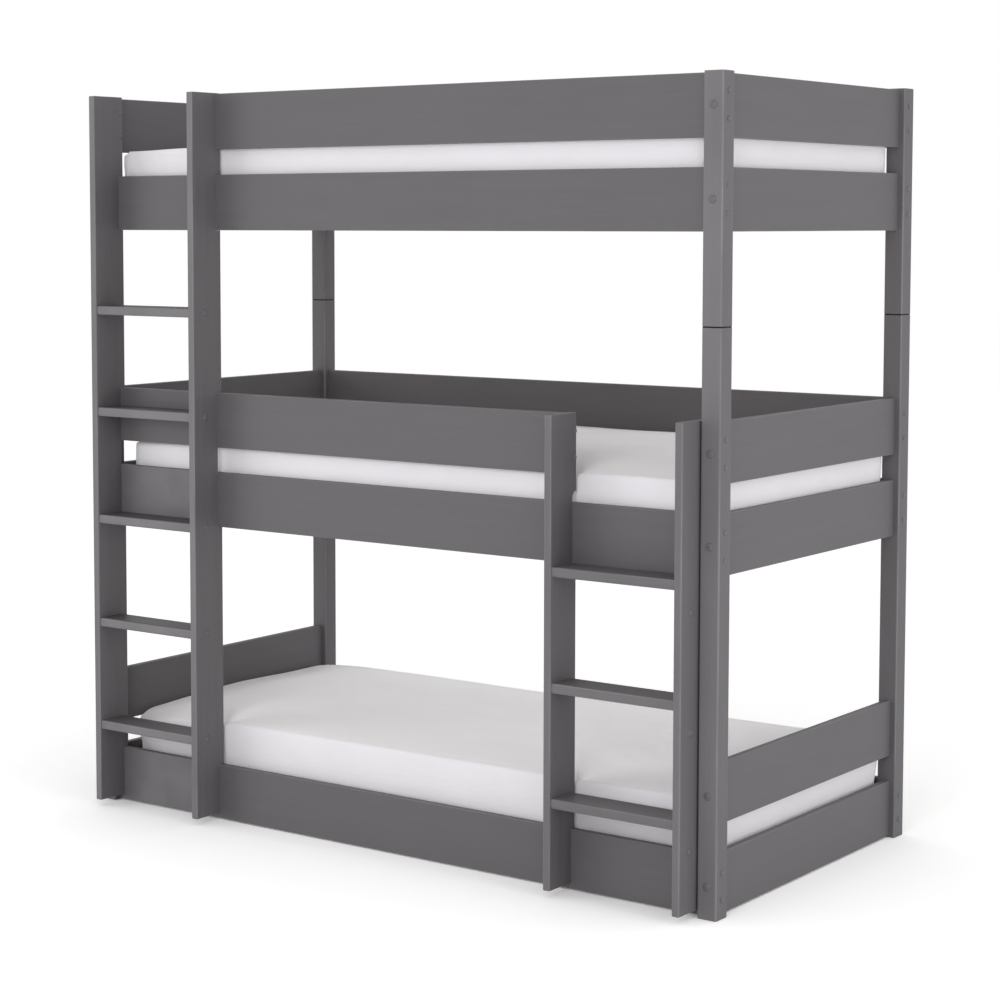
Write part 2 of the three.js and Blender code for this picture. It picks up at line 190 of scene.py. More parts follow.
def close_finish(place, steady, varied, height, rise):
    """Ends a material in its shader, with steady values on the shader's own sockets."""
    bump_inputs = {"Height": height, "Distance": rise, "Strength": 1.0}
    normal = place.add("ShaderNodeBump", {}, bump_inputs, "Normal")
    shader_inputs = {**steady, **varied, "Normal": normal}
    shader = place.add("ShaderNodeBsdfPrincipled", {}, shader_inputs, "BSDF")
    output = place.tree.nodes.new("ShaderNodeOutputMaterial")
    place.tree.links.new(shader.socket, output.inputs["Surface"])


def drawn_out(run, share):
    """A stretch that draws a pattern out along the grain."""
    stretch = [1.0, 1.0, 1.0]
    stretch[run] = share
    return stretch


def worn_and_highlit_edges(place, reach):
    """1 on the arrises of a squared piece and 0 on its flats, as far as reach."""
    rounded = place.add("ShaderNodeBevel", {"samples": 4}, {"Radius": reach}, "Normal")
    widest = 0.0
    for axis in "XYZ":
        part = abs(rounded.along(axis))
        widest = part.sum("MAXIMUM", part, widest)
    return 1 - widest.limited(0.80, 0.985)


def painted_pine(name, run, light, dark, grain_rise, wear_and_painted_light=None, dirt_and_painted_shade=None, joint=None):
    """Sprayed pine whose grain runs along one axis and still shows through the paint.
    Uprights are of knotty pine, the wide boards are clear. The first mask marks places painted
    paler, for wear and painted light; the second marks places painted darker, for dirt and
    painted shade; joint is the height of a joint painted near black, for dirt and painted shade."""
    material, place = new_finish(name)
    fibres = speckle(place, drawn_out(run, FIBRE_STRETCH), FIBRE_SCALE, 4.0)
    rings = speckle(place, drawn_out(run, RING_STRETCH), RING_SCALE, 2.0)
    cloud = speckle(place, EVEN, CLOUD_SCALE, 2.0)
    orange_peel = speckle(place, EVEN, ORANGE_PEEL_SCALE, 2.0)
    edges = worn_and_highlit_edges(place, EASED_EDGE) * (0.35 + cloud.limited(0.35, 0.6) * 0.65)
    shade = fibres * 0.45 + rings * 0.35 + cloud * 0.2
    paint = tinted(shade.limited(0.36, 0.64), dark, light)
    relief = fibres * 0.62 + rings * 0.3 + orange_peel * 0.08
    if run == UPRIGHT:
        spots = cells(place.stretched(drawn_out(run, KNOT_STRETCH)), KNOT_SCALE, 1.0)
        knots = 1 - spots.limited(KNOT_HEART, KNOT_RIM)
        paint = tinted(knots * (rings * 0.5), paint, KNOT_DIRT_AND_SHADE_GREY)
        relief = relief + knots * fibres * 1.2
    # Arrises are painted paler: partly worn paint, partly a painted highlight where the rounded
    # edges catch the light.
    paint = tinted(edges * 0.6, paint, WORN_AND_HIGHLIT_GREY)
    # Places in the first mask are painted paler: wear, and painted light where they face the
    # lamps.
    if wear_and_painted_light is not None:
        paint = tinted(wear_and_painted_light(place) * 0.5, paint, WORN_AND_HIGHLIT_GREY)
    # Places in the second mask are painted darker: dirt, and painted shade on faces the low light
    # barely reaches.
    if dirt_and_painted_shade is not None:
        paint = tinted(dirt_and_painted_shade(place), paint, KNOT_DIRT_AND_SHADE_GREY)
    # The joint line is painted near black: dirt and painted shade in its groove.
    if joint is not None:
        away = abs(place.along("Z") - joint)
        dirt_and_shade = 1 - away.limited(JOINT_LINE_HALF, JOINT_LINE_FADE)
        paint = tinted(dirt_and_shade, paint, JOINT_DIRT_AND_SHADE_BLACK)
    gloss = 0.44 + fibres * 0.12 + cloud * 0.08 - edges * 0.06
    close_finish(place, DULL_SPRAY, {"Base Color": paint, "Roughness": gloss}, relief, grain_rise)
    return material


def faces_along(place, axis):
    """How far a face looks along an axis."""
    return place.add("ShaderNodeNewGeometry", {}, {}, "Normal").along(axis)


def faces_front(place):
    """1 on faces that look to the front: where hands hold the bed, and where the front light is
    painted on.
    """
    return (0 - faces_along(place, "Y")).limited(0.5, 0.95)


def hand_wear_and_front_light(place):
    """The front of the uprights, paler in long uneven patches: worn by hands, and partly a painted
    highlight of the light from the front.
    """
    patches = speckle(place, (1, 1, 0.35), 6.0, 2.0)
    return faces_front(place) * (0.30 + patches.limited(0.35, 0.65) * 0.4)


def dress(names, material):
    """Gives solids of the frame their material."""
    for name in names:
        for slot in cad_nodes[name].material_slots:
            slot.material = material


def named(*starts):
    """The solids of the frame whose names start in one of these ways."""
    return [name for name in cad_nodes if name.startswith(starts)]


post_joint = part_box("post_front_right_lower")[1].z
# The front posts' front faces are painted paler: hand wear and a painted highlight.
front_post_paint = painted_pine(
    "grey_paint_front_posts",
    UPRIGHT,
    POST_GREY_LIGHT,
    POST_GREY_DARK,
    UPRIGHT_GRAIN_RISE,
    wear_and_painted_light=hand_wear_and_front_light,
    joint=post_joint,
)
# The back posts get the darker board grey and no paler fronts: painted shade, for the shade they
# stand in behind the bed.
shaded_back_post_paint = painted_pine(
    "grey_paint_back_posts_painted_shade",
    UPRIGHT,
    BOARD_GREY_LIGHT,
    BOARD_GREY_DARK,
    UPRIGHT_GRAIN_RISE,
    joint=post_joint,
)
dress(named("post_front_"), front_post_paint)
dress(named("post_back_"), shaded_back_post_paint)

# Post dowels
# Turned steel pins, half in each post length, that keep the two lengths in line.
# They are zinc plated and lie hidden in their holes.

ZINC_LIGHT = (0.50, 0.50, 0.51, 1)
ZINC_DARK = (0.30, 0.30, 0.31, 1)


def zinc(name):
    """Zinc plate, with the soft spangle and the rubbed edges of small hardware."""
    material, place = new_finish(name)
    spangle = speckle(place, EVEN, 600.0, 3.0)
    smear = speckle(place, EVEN, 60.0, 2.0)
    plate = tinted((spangle * 0.6 + smear * 0.4).limited(0.35, 0.65), ZINC_DARK, ZINC_LIGHT)
    gloss = 0.28 + smear * 0.25
    varied = {"Base Color": plate, "Roughness": gloss}
    close_finish(place, {"Metallic": 1.0}, varied, spangle, 0.00005)
    return material


zinc_plate = zinc("zinc_plate")
dress(named("post_dowel"), zinc_plate)

# Rails and guards along the bed
# Ten planed pine boards at the front and the back, bolted end on into the posts.
# Their grain runs along the bed, and the spray leaves them smoother than the posts.

BOARD_GRAIN_RISE = 0.0003
LADDER_LEFT, LADDER_RIGHT = -0.92, -0.58
# How high the painted light on the rails behind the long ladder reaches.
PAINTED_LIGHT_UP_TO = 1.0


def painted_light_behind_ladder(place):
    """The stretch of the lower rails behind the long ladder, painted paler: painted light where
    the stiles shade the rails.
    """
    x, z = place.along("X"), place.along("Z")
    behind = x.limited(LADDER_LEFT - 0.03, LADDER_LEFT + 0.05)
    behind = behind * (1 - x.limited(LADDER_RIGHT - 0.05, LADDER_RIGHT + 0.03))
    behind = behind * (1 - z.limited(PAINTED_LIGHT_UP_TO - 0.05, PAINTED_LIGHT_UP_TO))
    patches = speckle(place, EVEN, 9.0, 2.0)
    return faces_front(place) * behind * (0.40 + patches.limited(0.35, 0.65) * 0.4)


# The rails behind the long ladder are painted paler: painted light in the stiles' shade.
board_paint = painted_pine(
    "grey_paint_grain_along_bed",
    ALONG_BED,
    BOARD_GREY_LIGHT,
    BOARD_GREY_DARK,
    BOARD_GRAIN_RISE,
    wear_and_painted_light=painted_light_behind_ladder,
)
dress(named("rail_", "guard_"), board_paint)

# End boards
# Twelve short pine boards, a rail and a guard at each end of each tier.
# They are bolted end on into the posts, with their grain across the bed.

end_board_paint = painted_pine(
    "grey_paint_grain_across_bed",
    ACROSS_BED,
    BOARD_GREY_LIGHT,
    BOARD_GREY_DARK,
    BOARD_GRAIN_RISE,
)
dress(named("end_rail_", "end_guard_"), end_board_paint)

# Ladder stiles
# Four boards on edge, notched over the rails and the guards that pass behind them.
# They are cut from the same pine as the posts, with the grain upright.


def stile_paint(name, wear_and_light):
    """Paint of the stiles of one ladder, its fronts painted paler for hand wear and painted light,
    by the given share.
    """
    return painted_pine(
        name,
        UPRIGHT,
        POST_GREY_LIGHT,
        POST_GREY_DARK,
        UPRIGHT_GRAIN_RISE,
        wear_and_painted_light=lambda place: hand_wear_and_front_light(place) * wear_and_light,
    )


dress(named("long_ladder_stile"), stile_paint("grey_paint_long_ladder_stiles", 1.15))
dress(named("short_ladder_stile"), stile_paint("grey_paint_short_ladder_stiles", 0.45))

# Ladder treads
# Eight flat pine treads, housed in the stiles; those of the long ladder are bolted too.
# Their fronts are painted paler and their tops darker: painted light and painted shade, with some
# wear and dirt from feet.


def foot_wear_and_front_light(place):
    """The front faces of the treads, paler in uneven patches: scuffs from feet, and a painted
    highlight of the light from the front.
    """
    patches = speckle(place, (0.5, 1, 1), 16.0, 2.0)
    return faces_front(place) * (0.45 + patches.limited(0.35, 0.65) * 0.4)


def foot_dirt_and_top_shade(place):
    """The tops of the treads, painted darker: painted shade, since the light comes low from the
    front, with some dirt from feet.
    """
    upward = faces_along(place, "Z").limited(0.6, 0.95)
    patches = speckle(place, (0.5, 1, 1), 14.0, 3.0)
    return upward * (0.45 + patches.limited(0.3, 0.7) * 0.3)


def tread_paint(name, wear_and_light):
    """Paint of the treads of one ladder, with wear, dirt, painted light and painted shade as
    strong as the given share.
    """
    return painted_pine(
        name,
        ALONG_BED,
        POST_GREY_LIGHT,
        POST_GREY_DARK,
        UPRIGHT_GRAIN_RISE,
        wear_and_painted_light=lambda place: foot_wear_and_front_light(place) * wear_and_light,
        dirt_and_painted_shade=lambda place: foot_dirt_and_top_shade(place) * wear_and_light,
    )


dress(named("long_ladder_tread"), tread_paint("grey_paint_long_ladder_treads", 1.0))
dress(named("short_ladder_tread"), tread_paint("grey_paint_short_ladder_treads", 0.35))

# Bolt heads and caps
# Low domed steel heads sprayed with the bed, in pairs where a long board is held and
# under larger plastic caps where an end board is held.

CAP_RADIUS = 0.0097
HEAD_RADIUS = 0.0071
CAP_RISE = 0.0031
BOLT_SPACING = 0.064
HEAD_RINGS = 14
HEAD_SIDES = 32
FOOT_OF_DOME = 0.00001
FRONT, BACK = -1, 1
LEFT, RIGHT = -1, 1


def sprayed_metal(name):
    """The same grey on smooth metal and plastic, with a little more gloss."""
    material, place = new_finish(name)
    cloud = speckle(place, EVEN, 160.0, 3.0)
    paint = tinted(cloud.limited(0.35, 0.65), BOARD_GREY_DARK, POST_GREY_LIGHT)
    varied = {"Base Color": paint, "Roughness": 0.34 + cloud * 0.14}
    close_finish(place, DULL_SPRAY, varied, cloud, 0.00006)
    return material


def add_piece(name, shape, material, body):
    """Makes the finished piece of a bmesh and lets it ride on its body."""
    mesh = bpy.data.meshes.new(name)
    shape.to_mesh(mesh)
    shape.free()
    mesh.materials.append(material)
    for polygon in mesh.polygons:
        polygon.use_smooth = True
    piece = bpy.data.objects.new(name, mesh)
    scene.collection.objects.link(piece)
    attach(piece, body)


def domed_head(shape, radius, rise, place, way):
    """One low dome on a face: the upper half of a ball pressed flat."""
    turn = Vector((0, 0, 1)).rotation_difference(Vector(way)).to_matrix().to_4x4()
    pressed = Matrix.Diagonal((radius, radius, rise, 1))
    ball = bmesh.new()
    bmesh.ops.create_uvsphere(
        ball, u_segments=HEAD_SIDES, v_segments=HEAD_RINGS, radius=1.0, matrix=pressed
    )
    everything = ball.verts[:] + ball.edges[:] + ball.faces[:]
    foot = (0, 0, FOOT_OF_DOME)
    bmesh.ops.bisect_plane(
        ball, geom=everything, plane_co=foot, plane_no=(0, 0, 1), clear_inner=True
    )
    bmesh.ops.holes_fill(ball, edges=[edge for edge in ball.edges if edge.is_boundary])
    bmesh.ops.recalc_face_normals(ball, faces=ball.faces[:])
    bmesh.ops.transform(ball, matrix=Matrix.Translation(place) @ turn, verts=ball.verts[:])
    half = bpy.data.meshes.new("half_ball")
    ball.to_mesh(half)
    ball.free()
    shape.from_mesh(half)
    bpy.data.meshes.remove(half)


def cad_middle(name):
    """The middle of a solid's box."""
    low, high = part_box(name)
    return (low + high) / 2


def box_of(names):
    """The box round several solids."""
    lows, highs = zip(*(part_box(name) for name in names))
    low = Vector([min(values) for values in zip(*lows)])
    high = Vector([max(values) for values in zip(*highs)])
    return low, high


def pair_at(name):
    """The two bolts in the end of a long board, across the bed and up."""
    middle = cad_middle(name)
    return [(middle.y, middle.z + lift) for lift in (-BOLT_SPACING / 2, BOLT_SPACING / 2)]


def heads_on(shape, face, outward, spots, radius=HEAD_RADIUS):
    """Heads on a face that looks left or right."""
    for y, z in spots:
        domed_head(shape, radius, CAP_RISE, (face, y, z), (outward, 0, 0))


cap_finish = sprayed_metal("grey_sprayed_caps")
post_low, post_high = box_of(named("post_front_", "post_back_"))

caps = bmesh.new()
for name in named("end_rail_", "end_guard_"):
    middle = cad_middle(name)
    for side, face in ((FRONT, post_low.y), (BACK, post_high.y)):
        domed_head(caps, CAP_RADIUS, CAP_RISE, (middle.x, face, middle.z), (0, side, 0))
add_piece("end_board_bolt_caps", caps, cap_finish, "bed_frame")

heads = bmesh.new()
for name in named("rail_", "guard_"):
    board_low, board_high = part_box(name)
    if board_low.x < post_low.x:
        heads_on(heads, post_low.x, LEFT, pair_at(name))
    if board_high.x > post_high.x:
        heads_on(heads, post_high.x, RIGHT, pair_at(name))
add_piece("long_board_bolt_heads", heads, cap_finish, "bed_frame")

# Ladder bolt heads
# Domed heads through the long ladder's treads and the cut ends of the two front guards,
# their pairs on the posts beyond the ladders, and caps on three spare holes of a stile.

SPARE_CAP_DROP = 0.0675
TREAD_BOLT_INSET = 0.045
STILE_HALF = 0.01025
LONG_LEFT, LONG_RIGHT = -0.92745, -0.56935
SHORT_LEFT, SHORT_RIGHT = 0.56665, 0.92475

tread_bolt_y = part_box("long_ladder_stile_left")[0].y + TREAD_BOLT_INSET
long_treads = [(tread_bolt_y, cad_middle(name).z) for name in named("long_ladder_tread")]
short_treads = [(tread_bolt_y, cad_middle(name).z) for name in named("short_ladder_tread")]
spares = [(y, z - SPARE_CAP_DROP) for y, z in short_treads]

ladder_heads = bmesh.new()
heads_on(ladder_heads, LONG_LEFT - STILE_HALF, LEFT, long_treads, CAP_RADIUS)
heads_on(ladder_heads, LONG_LEFT + STILE_HALF, RIGHT, pair_at("guard_top_front"))
heads_on(ladder_heads, LONG_RIGHT + STILE_HALF, RIGHT, long_treads, CAP_RADIUS)
heads_on(ladder_heads, LONG_RIGHT - STILE_HALF, LEFT, pair_at("guard_top_front"))
heads_on(ladder_heads, SHORT_LEFT + STILE_HALF, RIGHT, pair_at("guard_middle_front"))
heads_on(ladder_heads, SHORT_RIGHT + STILE_HALF, RIGHT, spares, CAP_RADIUS)
heads_on(ladder_heads, post_high.x, RIGHT, pair_at("guard_middle_front"))
heads_on(ladder_heads, post_low.x, LEFT, pair_at("guard_top_front"))
add_piece("ladder_bolt_heads", ladder_heads, cap_finish, "bed_frame")

# Slat bases
# Thirteen planed slats of bare pine in each tier, held apart by two webbing straps
# that are stapled under them, and laid loose on the ledgers.

PINE_PALE = (0.72, 0.66, 0.58, 1)
PINE_RING = (0.60, 0.51, 0.41, 1)
KNOT_BROWN = (0.20, 0.095, 0.04, 1)


def bands(place, direction, profile, scale, distortion, finer):
    """Even stripes that wander a little."""
    return place.add(
        "ShaderNodeTexWave",
        {"wave_type": "BANDS", "bands_direction": direction, "wave_profile": profile},
        {"Vector": place, "Scale": scale, "Distortion": distortion, **finer},
        "Fac",
    )


def bare_pine(name, run):
    """Planed pine with drawn-out growth rings, fine fibres and a few knots."""
    material, place = new_finish(name)
    grown = place.stretched(drawn_out(run, 0.07))
    rings = bands(grown, "DIAGONAL", "SAW", 34.0, 5.0, {"Detail": 2.0, "Detail Scale": 0.8})
    fibres = speckle(place, drawn_out(run, 0.02), 500.0, 4.0)
    cloud = speckle(place, EVEN, 4.0, 2.0)
    knots = 1 - cells(place.stretched(drawn_out(run, 0.45)), 4.2, 1.0).limited(0.02, 0.05)
    wood = tinted((rings * 0.6 + cloud * 0.4).limited(0.15, 0.95), PINE_PALE, PINE_RING)
    wood = tinted(fibres.limited(0.45, 0.75) * 0.3, wood, PINE_RING)
    wood = tinted(knots * 0.85, wood, KNOT_BROWN)
    gloss = 0.6 + fibres * 0.15 - knots * 0.1
    relief = fibres * 0.6 + rings * 0.4
    close_finish(place, {}, {"Base Color": wood, "Roughness": gloss}, relief, 0.0002)
    return material


dress(named("slat_base_"), bare_pine("bare_pine_slats", ACROSS_BED))

WEBBING_CREAM = (0.56, 0.50, 0.40, 1)
WEBBING_BROWN = (0.37, 0.30, 0.21, 1)
SLATS_IN_A_BASE = 13
SLAT_WIDTH = 0.07
SLAT_THICKNESS = 0.018
STRAP_WIDTH = 0.03
STRAP_THICKNESS = 0.0022
STRAP_ROUNDING = 0.0004
STRAP_FROM_MIDDLE = 0.25
STAPLE_CROWN = 0.010
STAPLE_WIRE = 0.0011
STAPLE_ROUNDING = 0.0003
STAPLE_FROM_STRAP_MIDDLE = 0.0081
STAPLE_SUNK = 0.00033


def block(shape, middle, size, rounding):
    """A box with eased edges, added to a bmesh."""
    scaled = Matrix.Translation(middle) @ Matrix.Diagonal((*size, 1))
    made = bmesh.ops.create_cube(shape, size=1.0, matrix=scaled)
    edges = list({edge for vertex in made["verts"] for edge in vertex.link_edges})
    bmesh.ops.bevel(
        shape,
        geom=edges,
        offset=rounding,
        offset_type="OFFSET",
        affect="EDGES",
        segments=1,
        profile=0.5,
        material=-1,
    )


def woven_webbing(name):
    """Coarse flat webbing: rows of warp threads crossed by a thicker weft."""
    material, place = new_finish(name)
    warp = bands(place, "Y", "SIN", 150.0, 0.4, {"Detail": 1.0})
    weft = bands(place, "X", "SIN", 110.0, 0.4, {"Detail": 1.0})
    weave = warp * 0.5 + weft * 0.5
    soil = speckle(place, EVEN, 30.0, 3.0)
    thread = tinted((weave * 0.6 + soil * 0.4).limited(0.3, 0.7), WEBBING_BROWN, WEBBING_CREAM)
    varied = {"Base Color": thread, "Roughness": 0.78 + soil * 0.15}
    close_finish(place, {}, varied, weave, 0.0005)
    return material


webbing = bmesh.new()
staples = bmesh.new()
for name in named("slat_base_"):
    low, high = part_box(name)
    middle = cad_middle(name)
    slat_underside = high.z - SLAT_THICKNESS
    strap_z = slat_underside - STRAP_THICKNESS / 2
    strap_size = (high.x - low.x - SLAT_WIDTH / 2, STRAP_WIDTH, STRAP_THICKNESS)
    staple_z = slat_underside - STRAP_THICKNESS - STAPLE_SUNK
    staple_size = (STAPLE_CROWN, STAPLE_WIRE, STAPLE_WIRE)
    first = low.x + SLAT_WIDTH / 2
    pitch = (high.x - low.x - SLAT_WIDTH) / (SLATS_IN_A_BASE - 1)
    for y in (middle.y - STRAP_FROM_MIDDLE, middle.y + STRAP_FROM_MIDDLE):
        block(webbing, (middle.x, y, strap_z), strap_size, STRAP_ROUNDING)
        for slat in range(SLATS_IN_A_BASE):
            for aside in (-STAPLE_FROM_STRAP_MIDDLE, STAPLE_FROM_STRAP_MIDDLE):
                place = (first + slat * pitch, y + aside, staple_z)
                block(staples, place, staple_size, STAPLE_ROUNDING)
add_piece("webbing_straps", webbing, woven_webbing("woven_webbing"), "bed_frame")
add_piece("strap_staples", staples, zinc_plate, "bed_frame")

# Ledgers
# Strips of bare pine along the inner faces of the rails, screwed on from the inside.
# The slat bases lie on them.

SCREWS_IN_A_LEDGER = 7
SCREW_FROM_END = 0.08
SCREW_RADIUS = 0.0042
SCREW_RISE = 0.0011

dress(named("ledger_"), bare_pine("bare_pine_ledgers", ALONG_BED))

screws = bmesh.new()
for name in named("ledger_"):
    low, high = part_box(name)
    middle = cad_middle(name)
    inward = 1 if middle.y < 0 else -1
    face = high.y if inward > 0 else low.y
    pitch = (high.x - low.x - 2 * SCREW_FROM_END) / (SCREWS_IN_A_LEDGER - 1)
    for screw in range(SCREWS_IN_A_LEDGER):
        place = (low.x + SCREW_FROM_END + pitch * screw, face, middle.z)
        domed_head(screws, SCREW_RADIUS, SCREW_RISE, place, (0, inward, 0))
add_piece("ledger_screws", screws, zinc_plate, "bed_frame")

# Mattresses
# Three foam mattresses in white knitted covers with a zip round their foot, one on each base.
# Each has settled in its own way: corners droop and the cover pinches beside the stiles.

COVER_WHITE = (0.827, 0.805, 0.840, 1)
COVER_SHADE = (0.792, 0.770, 0.805, 1)
COVER_CELL = 0.014
ROLLED_EDGE = 0.009
SHELL = 0.028
HELD_BY_SLATS = 0.02
SWELL_PRESSURE = 4.0
SWELL_STEPS = 20
SWELL_LIMIT = 0.006
SIDE_LIMIT = 0.004
BROAD_DIPS, SMALL_DIPS = 0.0022, 0.0007
SIDE_RIPPLES, SIDE_FOLDS, CORNER_FOLDS = 0.0010, 0.0009, 0.0012
FRONT_ROLL_WIDTH = 0.07
PINCH_DIP, PINCH_DIP_LENGTH, PINCH_DIP_WIDTH = 0.003, 0.028, 0.024
CREASE_DEPTH, CREASE_LENGTH, CREASE_WIDTH, CREASE_START = 0.014, 0.15, 0.012, 0.02
CREASE_WAY = Vector((-0.60, 0.80))
CREASE_FROM_FRONT = 0.004
ZIP_HEIGHT = 0.020
ZIP_TAPE = 0.011
ZIP_STEPS = 420
ZIP_SPREAD_X, ZIP_SPREAD_Y = 1.5, 3.0
ZIP_TUCK = 0.86
TAPE_PROUD = 0.0006
TEETH_PROUD = 0.0010
TEETH_HALF = 0.2

# Corner radii run from front left over front right and back left to back right.
# Left in is how far short of the boards the left end stops.
# Each pinch is the place along the bed where a stile presses the front edge.
SETTLED = {
    "bottom": {
        "rim": 0.1475,
        "rise_to_right": 0.0035,
        "back": -0.012,
        "left_end": -0.006,
        "droop": 0.024,
        "roll": 0.018,
        "corners": (0.130, 0.060, 0.070, 0.044),
        "left_in": 0.0,
        "tuck": 0.009,
        "pinches": (-0.556, 0.580),
    },
    "middle": {
        "rim": 0.1475,
        "rise_to_right": 0.0,
        "back": 0.019,
        "left_end": -0.004,
        "droop": 0.004,
        "roll": 0.003,
        "corners": (0.045, 0.060, 0.070, 0.046),
        "left_in": 0.039,
        "tuck": 0.005,
        "pinches": (0.577,),
    },
    "top": {
        "rim": 0.1535,
        "rise_to_right": 0.002,
        "back": 0.0,
        "left_end": -0.003,
        "droop": 0.002,
        "roll": 0.002,
        "corners": (0.024, 0.060, 0.070, 0.048),
        "left_in": 0.017,
        "tuck": 0.003,
        "pinches": (-0.556,),
    },
}


def knitted_cover(name):
    """A close white knit: small loops, a soft nap and faint clouds where it has been handled."""
    material, place = new_finish(name)
    loops = cells(place, 620.0, 0.35)
    nap = speckle(place, EVEN, 1500.0, 2.0)
    cloud = speckle(place, EVEN, 7.0, 2.0)
    cloth = tinted((loops * 0.4 + cloud * 0.6).limited(0.3, 0.7), COVER_WHITE, COVER_SHADE)
    creases = speckle(place, (0.35, 0.45, 1), 24.0, 3.0)
    relief = (1 - loops) * 0.14 + nap * 0.06 + creases * 0.8
    steady = {"Sheen Weight": 1.0, "Sheen Roughness": 0.6, "Specular IOR Level": 0.25}
    varied = {"Base Color": cloth, "Roughness": 0.82 + nap * 0.12}
    close_finish(place, steady, varied, relief, 0.003)
    return material


def apply_modifiers(piece):
    """Keeps what the modifiers make as the piece's own mesh."""
    graph = bpy.context.evaluated_depsgraph_get()
    made = bpy.data.meshes.new_from_object(piece.evaluated_get(graph))
    piece.modifiers.clear()
    piece.data = made


def cover_of(node, name):
    """A closed copy of a mattress's solid, remeshed into even cloth cells."""
    shape = bmesh.new()
    shape.from_mesh(cad_nodes[node].data)
    bmesh.ops.remove_doubles(shape, verts=shape.verts[:], dist=0.00001)
    mesh = bpy.data.meshes.new(name)
    shape.to_mesh(mesh)
    shape.free()
    piece = bpy.data.objects.new(name, mesh)
    scene.collection.objects.link(piece)
    remesh = piece.modifiers.new("even_cells", "REMESH")
    remesh.mode = "VOXEL"
    remesh.voxel_size = COVER_CELL
    remesh.use_smooth_shade = True
    apply_modifiers(piece)
    return piece


def swell(piece, base):
    """Blows the cover up a little with Blender's cloth, held flat where it lies on the slats."""
    start = [vertex.co.copy() for vertex in piece.data.vertices]
    held = [v.index for v in piece.data.vertices if v.co.z < base + HELD_BY_SLATS]
    pinned = piece.vertex_groups.new(name="on_the_slats")
    pinned.add(held, 1.0, "REPLACE")
    cloth = piece.modifiers.new("swell", "CLOTH")
    cloth.settings.use_pressure = True
    cloth.settings.uniform_pressure_force = SWELL_PRESSURE
    cloth.settings.effector_weights.gravity = 0
    cloth.settings.vertex_group_mass = "on_the_slats"
    cloth.point_cache.frame_start = 1
    cloth.point_cache.frame_end = SWELL_STEPS
    for step in range(1, SWELL_STEPS + 1):
        scene.frame_set(step)
    apply_modifiers(piece)
    scene.frame_set(1)
    for vertex, before in zip(piece.data.vertices, start):
        moved = vertex.co - before
        if moved.length > SWELL_LIMIT:
            vertex.co = before + moved.normalized() * SWELL_LIMIT


def eased(amount):
    """0 to 1 with soft ends."""
    held = min(max(amount, 0.0), 1.0)
    return held * held * (3 - 2 * held)


def bell(distance, width):
    """1 at no distance, fading to 0 past a width."""
    return math.exp(-((distance / width) ** 2))


def rim_reach(ray, corner):
    """How far a ray from a unit square's corner goes to the round corner across from it."""
    inner = 1 - corner
    if min(ray) <= inner * max(ray):
        return 1 / max(ray)
    ahead = inner * (ray.x + ray.y)
    return ahead + math.sqrt(max(ahead**2 - 2 * inner**2 + corner**2, 0))


